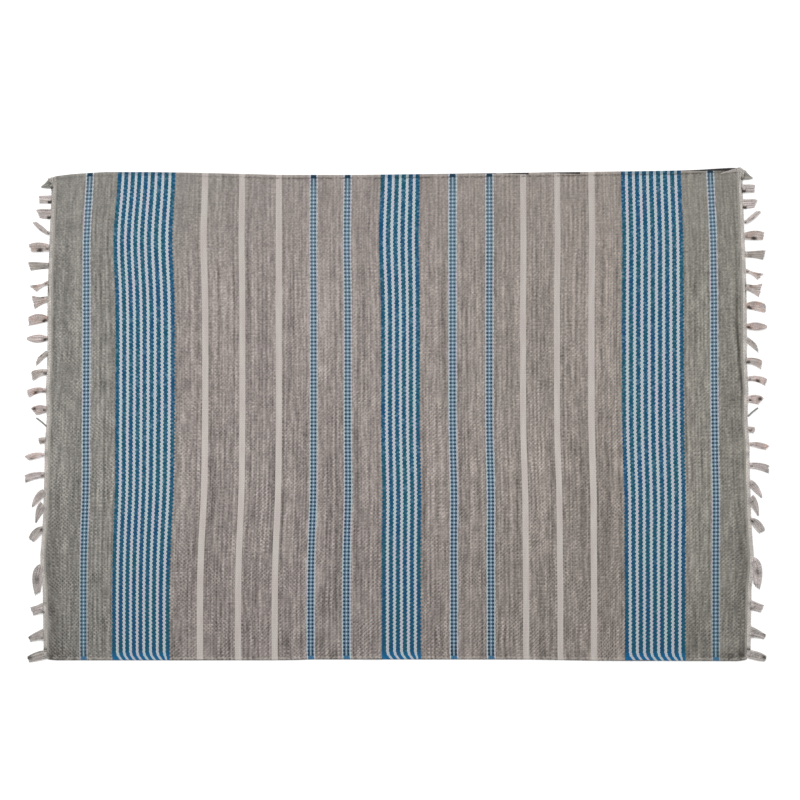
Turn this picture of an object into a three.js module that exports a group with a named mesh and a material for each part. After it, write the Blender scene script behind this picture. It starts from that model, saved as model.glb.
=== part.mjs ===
// Flat-woven kilim rug, lying face up on a floor.
//
// Millimetres, +Z up. X runs along the rug, the way its warps do, Y across it, the way its wefts
// do, and the floor is Z = 0. The woven cloth is one flat body. A twined heading locks the wefts at
// each end, and past it the warp ends are gathered into knotted tassels that lie on the floor.

import * as THREE from 'three';

// ---------------------------------------------------------------- driving sizes

const CLOTH_THICKNESS = 4;
const CLOTH_EDGE_ROUND = 1;
const HEADING_WIDTH = 9;
const HEADING_RISE = 5.4;
const HEADING_SWELL = 0.6;
const HEADING_SWELL_PITCH = 97;
const KNOT_WIDTH = 11;
const KNOT_RISE = 8;
const KNOT_LENGTH = 12;
const TUFT_RISE = 5;
const TUFT_TIP_RISE = 3.5;
const SEAT_GAP = 0.3;

const END_STEPS = 24;
const RING_SIDES = 8;

// How far the outer edge of each heading lies from the middle of the rug. The rug was beaten a
// little looser on its near side, where it is longer.
const END_LINE = [
  { y: -605, reach: 872 },
  { y: -450, reach: 874 },
  { y: -350, reach: 876 },
  { y: -250, reach: 875 },
  { y: -110, reach: 869 },
  { y: 40, reach: 866 },
  { y: 290, reach: 863 },
  { y: 440, reach: 857 },
  { y: 550, reach: 853 },
  { y: 620, reach: 850 },
];

// The far selvedge: it droops at the left corner and climbs towards the right one.
const FAR_SELVEDGE = [
  { x: -876, y: 586 },
  { x: -841, y: 596 },
  { x: -801, y: 601 },
  { x: -722, y: 606 },
  { x: -604, y: 606 },
  { x: -485, y: 604 },
  { x: -288, y: 599 },
  { x: -90, y: 599 },
  { x: 305, y: 604 },
  { x: 660, y: 609 },
  { x: 739, y: 611 },
  { x: 818, y: 616 },
  { x: 876, y: 616 },
];

// The near selvedge is almost straight, with both corners a little rubbed off.
const NEAR_SELVEDGE = [
  { x: -876, y: -595 },
  { x: -845, y: -599 },
  { x: -300, y: -599 },
  { x: -210, y: -597 },
  { x: 330, y: -597 },
  { x: 480, y: -600 },
  { x: 845, y: -601 },
  { x: 876, y: -595 },
];

// Tassels, from the far corner to the near one. The two ends were knotted alike, in mirror image.
//   left, right   place of the knot along each end
//   reach         how far the middle of the tip stands out from the heading
//   drift         how far the tip lies along the end from its knot, plus to the far side
//   bow           how far the middle is pulled the same way
//   waist, tip    width just past the knot and at the cut tip
const TASSEL_COLUMNS = ['left', 'right', 'reach', 'drift', 'bow', 'waist', 'tip'];
const TASSEL_ROWS = [
  [575, 598, 26, -9, 3, 18, 5],
  [536, 563, 30, 1, 0, 18, 20],
  [499, 525, 36, 7, 0, 22, 9],
  [452, 480, 36, 27, 10, 9, 10],
  [420, 448, 48, -1, 8, 15, 22],
  [373, 403, 47, 3, 0, 11, 22],
  [336, 363, 39, -17, -2, 8, 22],
  [296, 326, 37, -13, 0, 11, 29],
  [244, 277, 46, 0, -16, 14, 13],
  [193, 226, 49, 3, 2, 14, 7],
  [163, 193, 24, -31, -4, 9, 12],
  [109, 140, 38, -5, 0, 12, 22],
  [64, 95, 46, -2, 4, 13, 18],
  [17, 45, 37, 1, -3, 12, 19],
  [-57, -29, 17, -2, 0, 14, 16],
  [-96, -69, 42, 0, 0, 12, 18],
  [-146, -121, 48, -5, 4, 12, 21],
  [-185, -162, 24, -27, -2, 9, 14],
  [-222, -200, 14, -34, -2, 9, 14],
  [-282, -261, 24, -16, 0, 12, 17],
  [-375, -359, 9, -56, -4, 11, 14],
  [-467, -457, 28, -9, 2, 12, 21],
  [-533, -524, 35, -12, 0, 12, 19],
  [-585, -581, 46, -9, 3, 14, 16],
];

// ---------------------------------------------------------------- materials

const wool = (color, roughness) => new THREE.MeshStandardMaterial({ color, roughness, metalness: 0 });

const MATERIALS = {
  cloth: wool('#989189', 0.95),
  heading: wool('#beb6ac', 0.93),
  tassel: wool('#b4a79d', 0.92),
};

// ---------------------------------------------------------------- edges of the rug

// Reads one column of a table at a place between its rows.
function read(table, from, to, place) {
  const next = table.findIndex((row) => row[from] >= place);
  if (next === -1) return table[table.length - 1][to];
  if (next === 0) return table[0][to];
  const before = table[next - 1];
  const after = table[next];
  const share = (place - before[from]) / (after[from] - before[from]);
  return THREE.MathUtils.lerp(before[to], after[to], share);
}

const endReach = (y) => read(END_LINE, 'y', 'reach', y);
const farEdge = (x) => read(FAR_SELVEDGE, 'x', 'y', x);
const nearEdge = (x) => read(NEAR_SELVEDGE, 'x', 'y', x);

// Places along one end, near corner first, which the cloth and its heading share so that the
// seam between them keeps one width.
function endPlaces(side) {
  const corner = side * (endReach(0) - HEADING_WIDTH / 2);
  const near = nearEdge(corner);
  const far = farEdge(corner);
  return Array.from({ length: END_STEPS + 1 }, (_, step) => near + ((far - near) * step) / END_STEPS);
}

// ---------------------------------------------------------------- bodies

// The ring that every lofted section wears: an upright octagon one unit wide and one high, which
// stands on a flat side.
const RING = Array.from({ length: RING_SIDES }, (_, corner) => {
  const angle = ((corner + 0.5) * 2 * Math.PI) / RING_SIDES;
  const size = 0.5 / Math.cos(Math.PI / RING_SIDES);
  return { across: size * Math.cos(angle), up: 0.5 + size * Math.sin(angle) };
});

// A closed body through sections that stand on the floor. Each has its middle in plan, the
// direction across it, a width and a rise.
function loft(sections) {
  const places = sections.flatMap(({ middle, across, width, rise }) =>
    RING.flatMap((corner) => [
      middle.x + across.x * corner.across * width,
      middle.y + across.y * corner.across * width,
      corner.up * rise,
    ]),
  );
  const faces = [];
  for (let section = 0; section < sections.length - 1; section += 1) {
    for (let corner = 0; corner < RING_SIDES; corner += 1) {
      const here = section * RING_SIDES;
      const next = here + RING_SIDES;
      const turned = (corner + 1) % RING_SIDES;
      faces.push(here + corner, here + turned, next + turned);
      faces.push(here + corner, next + turned, next + corner);
    }
  }
  const last = (sections.length - 1) * RING_SIDES;
  for (let corner = 1; corner < RING_SIDES - 1; corner += 1) {
    faces.push(0, corner + 1, corner);
    faces.push(last, last + corner, last + corner + 1);
  }
  const body = new THREE.BufferGeometry();
  body.setAttribute('position', new THREE.Float32BufferAttribute(places, 3));
  body.setIndex(faces);
  body.computeVertexNormals();
  return body;
}

// The woven cloth: its uneven outline, cut out flat, with rounded edges.
function clothGeometry() {
  const inset = HEADING_WIDTH + SEAT_GAP;
  const endPoints = (side) =>
    endPlaces(side).map((y) => new THREE.Vector2(side * (endReach(y) - inset), y));
  const within = ({ x }) => Math.abs(x) < endReach(0) - 2 * inset;
  const selvedge = (table) => table.filter(within).map(({ x, y }) => new THREE.Vector2(x, y));
  const outline = new THREE.Shape([
    ...selvedge(NEAR_SELVEDGE),
    ...endPoints(1),
    ...selvedge(FAR_SELVEDGE).reverse(),
    ...endPoints(-1).reverse(),
  ]);
  const cloth = new THREE.ExtrudeGeometry(outline, {
    depth: CLOTH_THICKNESS - 2 * CLOTH_EDGE_ROUND,
    bevelThickness: CLOTH_EDGE_ROUND,
    bevelSize: CLOTH_EDGE_ROUND,
    bevelOffset: -CLOTH_EDGE_ROUND,
    bevelSegments: 2,
  });
  return cloth.translate(0, 0, CLOTH_EDGE_ROUND);
}

// The heading of one end: a raised band of twined warp, a little uneven in height.
function headingGeometry(side) {
  const across = new THREE.Vector2(-1, 0);
  const sections = endPlaces(side).map((y) => ({
    middle: new THREE.Vector2(side * (endReach(y) - HEADING_WIDTH / 2), y),
    across,
    width: HEADING_WIDTH,
    rise: HEADING_RISE + HEADING_SWELL * Math.sin((2 * Math.PI * y) / HEADING_SWELL_PITCH),
  }));
  return loft(sections);
}

const STRAIGHT_OUT = new THREE.Vector2(1, 0);

// One tassel: the gathered warp leaves the heading, swells into its knot and opens into a tuft
// that lies flat. Its middle line is a quadratic curve from the knot to the tip. It is no wider
// than the room between that line and the heading allows.
function tasselGeometry(side, row, knotPlace) {
  const tip = new THREE.Vector2(row.reach, row.drift);
  const pull = new THREE.Vector2(Math.max(KNOT_LENGTH, row.reach / 2), row.bow);
  const line = new THREE.QuadraticBezierCurve(new THREE.Vector2(SEAT_GAP, 0), pull, tip);
  const knotShare = Math.min(0.5, KNOT_LENGTH / line.getLength());
  const middleWidth = THREE.MathUtils.lerp(row.waist, row.tip, 0.6);
  const profile = [
    { share: 0, width: 0.75 * KNOT_WIDTH, rise: 0.6 * KNOT_RISE },
    { share: 0.3 * knotShare, width: KNOT_WIDTH, rise: KNOT_RISE },
    { share: 0.75 * knotShare, width: KNOT_WIDTH, rise: KNOT_RISE },
    { share: knotShare, width: row.waist, rise: 0.5 * (KNOT_RISE + TUFT_RISE) },
    { share: knotShare + 0.5 * (1 - knotShare), width: middleWidth, rise: TUFT_RISE },
    { share: 0.94, width: row.tip, rise: TUFT_RISE },
    { share: 1, width: 0.9 * row.tip, rise: TUFT_TIP_RISE },
  ];
  const sections = profile.map(({ share, width, rise }) => {
    const out = line.getPointAt(share);
    const along = share === 0 ? STRAIGHT_OUT : line.getTangentAt(share);
    const room = along.y === 0 ? width : (out.x - SEAT_GAP) / Math.abs(along.y);
    const y = knotPlace + out.y;
    return {
      middle: new THREE.Vector2(side * (endReach(y) + out.x), y),
      across: new THREE.Vector2(-along.y, side * along.x),
      width: Math.min(width, 2 * room),
      rise,
    };
  });
  return loft(sections);
}

// ---------------------------------------------------------------- the rug

const rug = new THREE.Group();

function add(name, geometry, material) {
  const mesh = new THREE.Mesh(geometry, material);
  mesh.name = name;
  rug.add(mesh);
}

const SIDES = [
  { side: -1, name: 'left' },
  { side: 1, name: 'right' },
];

add('field', clothGeometry(), MATERIALS.cloth);
for (const { side, name } of SIDES) {
  add(`heading_${name}`, headingGeometry(side), MATERIALS.heading);
  TASSEL_ROWS.forEach((values, index) => {
    const row = Object.fromEntries(TASSEL_COLUMNS.map((column, place) => [column, values[place]]));
    const number = String(index + 1).padStart(2, '0');
    add(`tassel_${name}_${number}`, tasselGeometry(side, row, row[name]), MATERIALS.tassel);
  });
}

// The origin is the middle of the rug's footprint, on the floor.
const box = new THREE.Box3().setFromObject(rug);
const footprint = box.getCenter(new THREE.Vector3());
rug.position.set(-footprint.x, -footprint.y, 0);

export default rug;
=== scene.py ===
"""Flat-woven kilim rug: weft-faced wool cloth, twined headings and knotted cotton tassels.

The rug lies face up on the floor. X runs along it, the way its warps do, Y across it, the way its
wefts do, and the floor is Z = 0. Shapes are worked out in millimetres and put into metres at the end.
"""

import math
from collections import namedtuple

import bpy
import numpy as np
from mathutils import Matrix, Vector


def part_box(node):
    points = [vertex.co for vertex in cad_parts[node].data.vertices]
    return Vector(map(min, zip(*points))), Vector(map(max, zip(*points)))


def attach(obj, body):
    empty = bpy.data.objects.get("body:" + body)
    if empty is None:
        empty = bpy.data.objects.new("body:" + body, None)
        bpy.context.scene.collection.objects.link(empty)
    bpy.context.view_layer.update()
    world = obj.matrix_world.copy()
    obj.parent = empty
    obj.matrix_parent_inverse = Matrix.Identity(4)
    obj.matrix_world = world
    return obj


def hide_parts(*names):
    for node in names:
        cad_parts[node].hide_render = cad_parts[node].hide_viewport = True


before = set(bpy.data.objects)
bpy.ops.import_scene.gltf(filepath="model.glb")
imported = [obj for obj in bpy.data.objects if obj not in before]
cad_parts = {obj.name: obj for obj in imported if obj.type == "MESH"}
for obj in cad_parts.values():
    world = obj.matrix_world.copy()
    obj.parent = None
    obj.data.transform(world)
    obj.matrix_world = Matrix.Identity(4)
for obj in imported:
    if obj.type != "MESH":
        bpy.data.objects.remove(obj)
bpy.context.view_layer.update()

bl_info = {
    "name": "Kilim Rug",
    "version": (1, 0, 0),
    "blender": (4, 5, 0),
    "location": "3D View > Sidebar > Kilim",
    "description": "Makes a striped flat-woven rug with twined headings and knotted tassels",
    "category": "Add Mesh",
}

MM = 0.001


def linear(hex_colour):
    """An sRGB hex colour as linear red, green, blue and a full alpha."""
    parts = [int(hex_colour[place:place + 2], 16) / 255 for place in (1, 3, 5)]
    return (*[c / 12.92 if c <= 0.04045 else ((c + 0.055) / 1.055) ** 2.4 for c in parts], 1.0)


# ------------------------------------------------------------------ the loom's measures

# Picks are wefts and ribs are warps. A ply is the length in which the strands of a yarn turn once.
PICKS = 770
RIBS = 254
PICK_PITCH = 2.225
RIB_PITCH = 4.72
HEADING_WIDTH = 9.0
HEADING_PLY = 9.0
TASSEL_PLY = 8.0
SEAT_GAP = 0.3
SELVEDGE_CORD = 7.3

# Columns: place across the rug, how far the outer edge of each heading lies from the middle.
END_LINE = (
    (-605, 872), (-450, 872), (-350, 871.5), (-250, 870), (-110, 866.5),
    (40, 864.5), (290, 863), (440, 857), (550, 853), (620, 850),
)

# Small waves of the headings. They reach only a few picks into the cloth. Columns: place across
# the rug, shift outwards.
END_WAVES = (
    (-605, -1.5), (-575, 0.5), (-450, 2.5), (-420, 3), (-378, 8.5), (-338, 9.5), (-290, 6), (-240, 4),
    (-150, 3.5), (-70, 4), (0, 0), (70, 3), (140, -0.5), (200, 0), (290, 0), (370, 1), (440, 1),
    (550, 0.5), (620, 1),
)
WAVE_PICKS = 22

# Columns: place along the rug, place of the selvedge across it.
FAR_SELVEDGE = (
    (-876, 586), (-841, 596), (-801, 601), (-722, 606), (-604, 606), (-485, 604), (-288, 599),
    (-90, 599), (305, 604), (660, 609), (739, 611), (818, 616), (876, 616),
)
NEAR_SELVEDGE = (
    (-876, -595), (-845, -599), (-300, -599), (-210, -597),
    (330, -597), (480, -600), (845, -601), (876, -595),
)

# How far the beating pushed the pick lines along the rug, in millimetres. Columns: pick, shift
# all the way across, more shift at the near side, more shift in the wave close to the far side.
BEATING = (
    (0, 0, 0, 0), (40, -3.5, -1, -4), (72, 1.5, -4, -9), (110, -3.2, -8, -9), (140, -4.2, -12, -7),
    (172, 3.1, -13.2, -4), (214, 0.1, -10.6, -2), (254, 1.9, -10.6, 0), (294, -1.2, -7.4, -1),
    (330, -1.5, -3.9, -2), (368, -0.8, 2.5, -5.5), (412, -4.3, 2.5, -2), (448, -0.4, 3, 0),
    (488, 0.8, 4, 0.5), (524, 4.1, 8, 1), (564, -2.7, 8.6, 1.5), (600, 3.9, 6.4, 2),
    (636, -2.8, 5.8, 2), (704, -0.9, -1, 2.5), (736, 1.5, -3, 3), (770, 0, 0, 0),
)
END_PICKS = 180
NEAR_BEAT_FROM, NEAR_BEAT_TO = 42, -476
FAR_WAVE_PLACE, FAR_WAVE_WIDTH = 440, 75

# One long swing of all pick lines: its place across the rug, its width and its size.
SWING_PLACE, SWING_WIDTH, SWING_SIZE = -190, 75, 2.2

# The draft, in picks. A band is blue, white, blue and so on, four picks each. A check is ten
# picks: two white, a pair of which every other shows blue, two pale blue, a like pair, two white.
BANDS = ((72, 68), (368, 44), (636, 68))
CHECKS = (36, 288, 326, 442, 482, 732)
CHECK_PICKS = 10
ECRU_STRIPES = (168, 210, 250, 520, 560, 596)
ECRU_PICKS = 6.8
COARSE_YARN = 2.2

# Lifts of the rug's edges off the floor, in millimetres. Columns: edge, from, to, rise, reach into
# the cloth, depth of the painted shade on the turned-up yarns at the end of the curl.
CURLS = (
    ("far", 690, 842, 3.6, 16, 8.5),
    ("far", 20, 245, 0.6, 12, 2.2),
    ("far", 245, 325, 1.4, 12, 4.8),
    ("far", 333, 452, 1.5, 12, 5.2),
    ("near", -575, -470, 0.5, 10, 1.9),
    ("near", -300, -225, 0.8, 10, 2.2),
    ("near", -110, -35, 1.2, 12, 2.6),
    ("near", 430, 630, 0.6, 10, 1.9),
)

# Dark places on the headings. Columns: place across the rug, half length, strength, and the share
# of it that the two inner cords take.
HEADING_SOIL = (
    (565, 9, 0.85, 0), (317, 15, 0.8, 0), (142, 11, 0.5, 0), (-90, 6, 0.45, 0.8),
    (-459, 5, 0.5, 0.8), (-574, 6, 0.85, 1),
)

# Greyness of the headings. Columns: place across the rug, at the left end, at the right end.
HEADING_GREYNESS = (
    (-590, 0.3, 0.12), (-540, 0.28, 0.08), (-420, 0.1, 0.02), (0, 0.08, 0), (120, 0, 0), (380, 0.06, 0),
    (440, 0.18, 0.02), (560, 0.26, 0.08), (578, 0.36, 0.14), (594, 0.5, 0.26),
)

# Columns of the tassels: place of the root on the left end and on the right end, how far the tip
# stands out, how far it lies along the end from its root, how far the middle is pulled the same
# way, width at the root, in the middle and at the tip, slant of the cut, greyness, then the brown
# stain: its share of the length, its lane from -1 on the near edge to 1 on the far one and its
# strength there, then the strength of the painted shade on the near side of its knot. Last, the
# gap to the heading and the rustiness.
Tassel = namedtuple("Tassel", (
    "left", "right", "reach", "drift", "bow", "root", "middle", "tip", "cut", "grey",
    "stain_place", "stain_lane", "stain", "knot_stain", "gap", "rust"))

# From the far corner to the near one.
TASSELS = tuple(Tassel(*row) for row in (
    (578, 600, 25, -9, -7, 26, 15, 3, 0, 0.6, 0.12, -0.2, 1.1, 1.1, 2, 0),
    (538, 565, 31, 0, 0, 20, 20, 19, 0.02, 0.15, 0.1, -0.75, 1.7, 1.2, 0, 0),
    (502, 527, 33, 2, 0, 24, 24, 20, 0.17, 0.15, 0.14, -0.9, 1.7, 1.2, 0, 0.1),
    (453, 480, 36, 29, 13, 5, 12, 8, -0.06, 0.2, 0.5, -1, 0.4, 0.9, 3.5, 0.15),
    (419, 448, 49, 0, 3, 14, 23, 18, 0.03, 0.2, 0.52, -0.85, 1.5, 0.6, 0, 0.6),
    (375, 403, 49, -2, 0, 14, 18, 24, 0.03, 0.35, 0.3, -1, 0.5, 0.3, 0, 0.3),
    (333, 363, 37, -17, -7, 9, 9, 22, 0.1, 0.1, 0.8, 0.8, 0.35, 0.9, 0, 0.5),
    (293, 323, 37, -9, -6, 14, 20, 34, 0.03, 0.2, 0.25, 1, 0.6, 0.2, 0, 0.7),
    (243, 275, 48, -7, 5, 11, 24, 20, -0.08, 0.1, 0.16, -0.8, 0.9, 0.9, 0, 1),
    (196, 226, 51, -1, -1, 9, 20, 6, 0, 0.05, 0.12, -0.6, 0.9, 0.9, 0, 0.5),
    (160, 193, 28, -23, -10, 13, 13, 14, -0.27, 0.3, 0.6, 0.8, 0.6, 0.3, 0, 0.2),
    (112, 140, 38, -10, 2, 13, 17, 22, -0.1, 0.25, 0.07, -0.8, 0.8, 0.9, 0, 0.5),
    (66, 95, 46, -8, 6, 9, 16, 19, -0.05, 0, 0.58, -0.6, 0.9, 0.6, 0, 0.5),
    (20, 45, 34, -4, 2, 13, 23, 20, 0.1, 0, 0.85, 0.4, 0.9, 0.9, 0, 0.5),
    (-56, -29, 17, -3, 0, 14, 15, 16, -0.2, 0.2, 0.3, -0.2, 0.9, 0.6, 0, 0.35),
    (-91, -65, 38, -9, -3, 9, 15, 13, 0.08, 0, 0.75, -0.7, 0.4, 0.2, 8, 0.7),
    (-141, -118, 49, -10, 0, 13, 18, 19, -0.06, 0.1, 0.95, -0.9, 0.4, 0.8, 0, 0.05),
    (-183, -160, 30, -37, -10, 15, 17, 4, 0, 0.2, 0.95, 0, 0.4, 0.3, 0, 0.15),
    (-217, -200, 20, -42, -10, 24, 18, 3, 0, 0.25, 0.95, 0, 0.5, 0.3, 0, 0.1),
    (-272, -251, 29, -31, -8, 8, 21, 17, 0, 0.25, 0.15, -0.6, 0.6, 0.9, 0, 0),
    (-365, -348, 9, -70, -12, 8, 25, 15, 0.03, 0.2, 0.62, 0.1, 0.6, 0.2, 0, 0),
    (-470, -463, 29, -9, -4, 25, 21, 21, 0.03, 0.22, 0.1, -0.9, 0.5, 0.3, 0, 0),
    (-536, -530, 36, -12, -3, 29, 20, 14, 0, 0.27, 0.95, 0.8, 0.7, 0.5, 0, 0),
    (-584, -583, 48, -13, -4, 19, 22, 14, 0, 0.32, 0.93, 0.3, 1, 0.3, -8, 0),
))
LOOSE_END_TASSEL = 13
YARN_STEPS = 15


def read(table, place, column=1):
    """One column of a table at places between its rows, by straight lines."""
    rows = np.array(table, float)
    return np.interp(place, rows[:, 0], rows[:, column])


def end_place(place):
    """How far the outer edge of each heading lies from the middle of the rug."""
    return read(END_LINE, place) + read(END_WAVES, place)


def smooth(share):
    """An S-curve from 0 to 1: three times the share squared, less twice its cube."""
    share = np.clip(share, 0, 1)
    return share * share * (3 - 2 * share)


def floor_shift():
    """How far the loom's middle lies from the origin across the rug, in millimetres."""
    low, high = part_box("field")
    loom_middle = (read(FAR_SELVEDGE, 818) + read(NEAR_SELVEDGE, 845)) / 2
    return (low[1] + high[1]) / 2 / MM - loom_middle


# ------------------------------------------------------------------ settings

class KilimCloth(bpy.types.PropertyGroup):
    """Sizes and dye colours of the woven cloth."""

    thickness: bpy.props.FloatProperty(
        name="Thickness", description="Height of the cloth off the floor",
        default=0.004, min=0.001, max=0.02, unit="LENGTH")
    rib_relief: bpy.props.FloatProperty(
        name="Rib Relief", description="Height of the ribs that the warps raise",
        default=0.0003, min=0.0, max=0.002, unit="LENGTH")
    ground: bpy.props.FloatVectorProperty(
        name="Ground", description="Middle tone of the undyed grey wool",
        default=linear("#928b87")[:3], size=3, min=0, max=1, subtype="COLOR")
    blue: bpy.props.FloatVectorProperty(
        name="Blue", description="Dyed weft of the bands",
        default=linear("#0d4f6b")[:3], size=3, min=0, max=1, subtype="COLOR")
    white: bpy.props.FloatVectorProperty(
        name="White", description="Bleached weft of the bands",
        default=linear("#b8bec4")[:3], size=3, min=0, max=1, subtype="COLOR")
    ecru: bpy.props.FloatVectorProperty(
        name="Ecru", description="Pale weft of the single stripes",
        default=linear("#b8b0ab")[:3], size=3, min=0, max=1, subtype="COLOR")
    navy: bpy.props.FloatVectorProperty(
        name="Navy", description="Dark weft of the checked stripes",
        default=linear("#162c3c")[:3], size=3, min=0, max=1, subtype="COLOR")


class KilimEnds(bpy.types.PropertyGroup):
    """Sizes and colours of the headings and tassels."""

    yarn: bpy.props.FloatProperty(
        name="Warp Yarn", description="Thickness of one warp yarn in a tassel",
        default=0.0021, min=0.0005, max=0.005, unit="LENGTH")
    strands: bpy.props.IntProperty(
        name="Yarns in a Tassel", description="How many warp ends are gathered in one tassel",
        default=14, min=4, max=24)
    heading: bpy.props.FloatVectorProperty(
        name="Heading", description="Colour of the twined heading",
        default=linear("#d0cac4")[:3], size=3, min=0, max=1, subtype="COLOR")
    tassel: bpy.props.FloatVectorProperty(
        name="Tassel", description="Colour of the knotted warp ends",
        default=linear("#cbc1bf")[:3], size=3, min=0, max=1, subtype="COLOR")


class KilimStage(bpy.types.PropertyGroup):
    """Camera and floor."""

    lens: bpy.props.FloatProperty(
        name="Lens", description="Focal length, in millimetres", default=200.0, min=20, max=400)
    view_width: bpy.props.FloatProperty(
        name="View Width", description="Width of floor that the camera sees",
        default=1.975, min=0.5, max=5.0, unit="LENGTH")
    floor: bpy.props.FloatVectorProperty(
        name="Floor", description="Colour of the floor",
        default=linear("#f4f4f4")[:3], size=3, min=0, max=1, subtype="COLOR")


# ------------------------------------------------------------------ building blocks

def build_mesh(name, points, faces, maps=(), values=()):
    """A mesh object from points in millimetres and from groups of faces with equal corner counts.

    maps holds (name, U and V of each corner) and values (name, number of each point).
    """
    mesh = bpy.data.meshes.new(name)
    corners = np.concatenate([group.ravel() for group in faces]).astype(np.int32)
    counts = np.concatenate([np.full(len(group), group.shape[1]) for group in faces])
    starts = np.concatenate([[0], np.cumsum(counts)[:-1]]).astype(np.int32)
    mesh.vertices.add(len(points))
    mesh.vertices.foreach_set("co", (points * MM).astype(np.float32).ravel())
    mesh.loops.add(len(corners))
    mesh.loops.foreach_set("vertex_index", corners)
    mesh.polygons.add(len(counts))
    mesh.polygons.foreach_set("loop_start", starts)
    mesh.polygons.foreach_set("use_smooth", np.ones(len(counts), bool))
    mesh.update(calc_edges=True)
    for map_name, places in maps:
        layer = mesh.uv_layers.new(name=map_name)
        layer.uv.foreach_set("vector", places.astype(np.float32).ravel())
    for value_name, numbers in values:
        attribute = mesh.attributes.new(value_name, "FLOAT", "POINT")
        attribute.data.foreach_set("value", numbers.astype(np.float32))
    made = bpy.data.objects.new(name, mesh)
    bpy.context.scene.collection.objects.link(made)
    return made


def grid_faces(rows, columns, first=0, flip=False):
    """Quads of a rows by columns grid of points, counted row by row from the first one."""
    corner = first + np.arange((rows - 1) * columns).reshape(rows - 1, columns)[:, :-1].ravel()
    quads = np.stack([corner, corner + 1, corner + columns + 1, corner + columns], axis=1)
    return quads[:, ::-1] if flip else quads


def unit(vectors):
    """Vectors brought to a length of one."""
    return vectors / np.maximum(np.linalg.norm(vectors, axis=-1, keepdims=True), 1e-9)


def yarn_tubes(paths, radius, reference, twist=0.0, sides=6, ply=0.16):
    """Closed tubes along many paths at once, each with the two-lobed section of plied yarn.

    paths is (yarns, steps, 3) and radius (yarns, steps). A point is its path's point plus the
    radius times cosine and sine of its angle in the plane across the path; the radius swells and
    shrinks twice round the section, and that swelling turns along the yarn by the twist, in turns.
    Returns points, walls, caps, and for each corner its share along and around and its yarn.
    """
    yarns, steps, _ = paths.shape
    along = unit(np.gradient(paths, axis=1))
    side = unit(np.cross(along, np.broadcast_to(reference, paths.shape)))
    up = np.cross(side, along)
    angle = np.arange(sides) * 2 * np.pi / sides
    share = np.linspace(0, 1, steps)
    turn = 2 * np.pi * np.multiply.outer(np.broadcast_to(twist, yarns), share)
    swell = 1 + ply * np.cos(2 * (angle[None, None, :] - turn[:, :, None]))
    reach = (radius[:, :, None] * swell)[..., None]
    spoke = (np.cos(angle)[:, None] * side[:, :, None, :] + np.sin(angle)[:, None] * up[:, :, None, :])
    points = (paths[:, :, None, :] + reach * spoke).reshape(-1, 3)

    ring = np.arange(sides)
    start = np.arange(yarns)[:, None, None] * steps * sides
    here = start + np.arange(steps - 1)[None, :, None] * sides + ring
    turned = start + np.arange(steps - 1)[None, :, None] * sides + (ring + 1) % sides
    walls = np.stack([here, turned, turned + sides, here + sides], axis=-1).reshape(-1, 4)
    first = np.arange(yarns)[:, None] * steps * sides
    caps = np.concatenate([first + ring[::-1], first + (steps - 1) * sides + ring])

    step_share = np.broadcast_to(share[None, :-1, None], here.shape)
    next_share = np.broadcast_to(share[None, 1:, None], here.shape)
    ring_share = np.broadcast_to(ring / sides, here.shape)
    ring_next = ring_share + 1 / sides
    wall_map = np.stack([
        np.stack([step_share, ring_share], -1), np.stack([step_share, ring_next], -1),
        np.stack([next_share, ring_next], -1), np.stack([next_share, ring_share], -1),
    ], axis=-2).reshape(-1, 2)
    cap_map = np.concatenate([
        np.tile(np.stack([np.zeros(sides), ring[::-1] / sides], -1), (yarns, 1)),
        np.tile(np.stack([np.ones(sides), ring / sides], -1), (yarns, 1)),
    ])
    wall_yarn = np.repeat(np.arange(yarns), (steps - 1) * sides * 4)
    cap_yarn = np.tile(np.repeat(np.arange(yarns), sides), 2)
    shares = np.concatenate([wall_map, cap_map])
    return points, walls, caps, shares, np.concatenate([wall_yarn, cap_yarn])


def add(tree, kind, *values, inputs=None, output=0, **settings):
    """Adds a shader node with its settings, sets or links its inputs and returns one output.

    Values go to its sockets in their order, and inputs holds others by their name or number.
    """
    made = tree.nodes.new("ShaderNode" + kind)
    for name, value in settings.items():
        setattr(made, name, value)
    for socket, value in (*enumerate(values), *(inputs or {}).items()):
        if isinstance(value, bpy.types.NodeSocket):
            tree.links.new(value, made.inputs[socket])
        else:
            made.inputs[socket].default_value = value
    return made.outputs[output] if len(made.outputs) else made


def new_material(name):
    """An empty node material and its tree."""
    material = bpy.data.materials.new(name)
    material.use_nodes = True
    material.node_tree.nodes.clear()
    return material, material.node_tree


# ------------------------------------------------------------------ the cloth's shape

def pick_line(pick, place):
    """Place along the rug of a pick line, where it crosses a place across the rug.

    Picks are evenly spaced in the middle. Near an end they take up the slant of that end, and the
    beating adds a shift that grows towards the near side and a wave close to the far side.
    """
    straight = (pick - PICKS / 2) * PICK_PITCH
    from_end = np.minimum(pick, PICKS - pick)
    slack = read(END_LINE, place) - HEADING_WIDTH - SEAT_GAP - PICKS / 2 * PICK_PITCH
    end_share = np.clip(1 - from_end / END_PICKS, 0, None) ** 1.2
    near_share = smooth((place - NEAR_BEAT_FROM) / (NEAR_BEAT_TO - NEAR_BEAT_FROM))
    far_share = np.exp(-((place - FAR_WAVE_PLACE) / FAR_WAVE_WIDTH) ** 2 / 2)
    beat, near_beat, far_beat = (read(BEATING, pick, column) for column in (1, 2, 3))
    beat = beat + near_beat * near_share + far_beat * far_share
    swing = SWING_SIZE * np.exp(-((place - SWING_PLACE) / SWING_WIDTH) ** 2 / 2)
    swing = swing * np.clip(from_end / END_PICKS * 4, 0, 1)
    wave = read(END_WAVES, place) * np.clip(1 - from_end / WAVE_PICKS, 0, 1)
    return straight + np.sign(pick - PICKS / 2) * (slack * end_share + wave) + beat + swing


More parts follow.
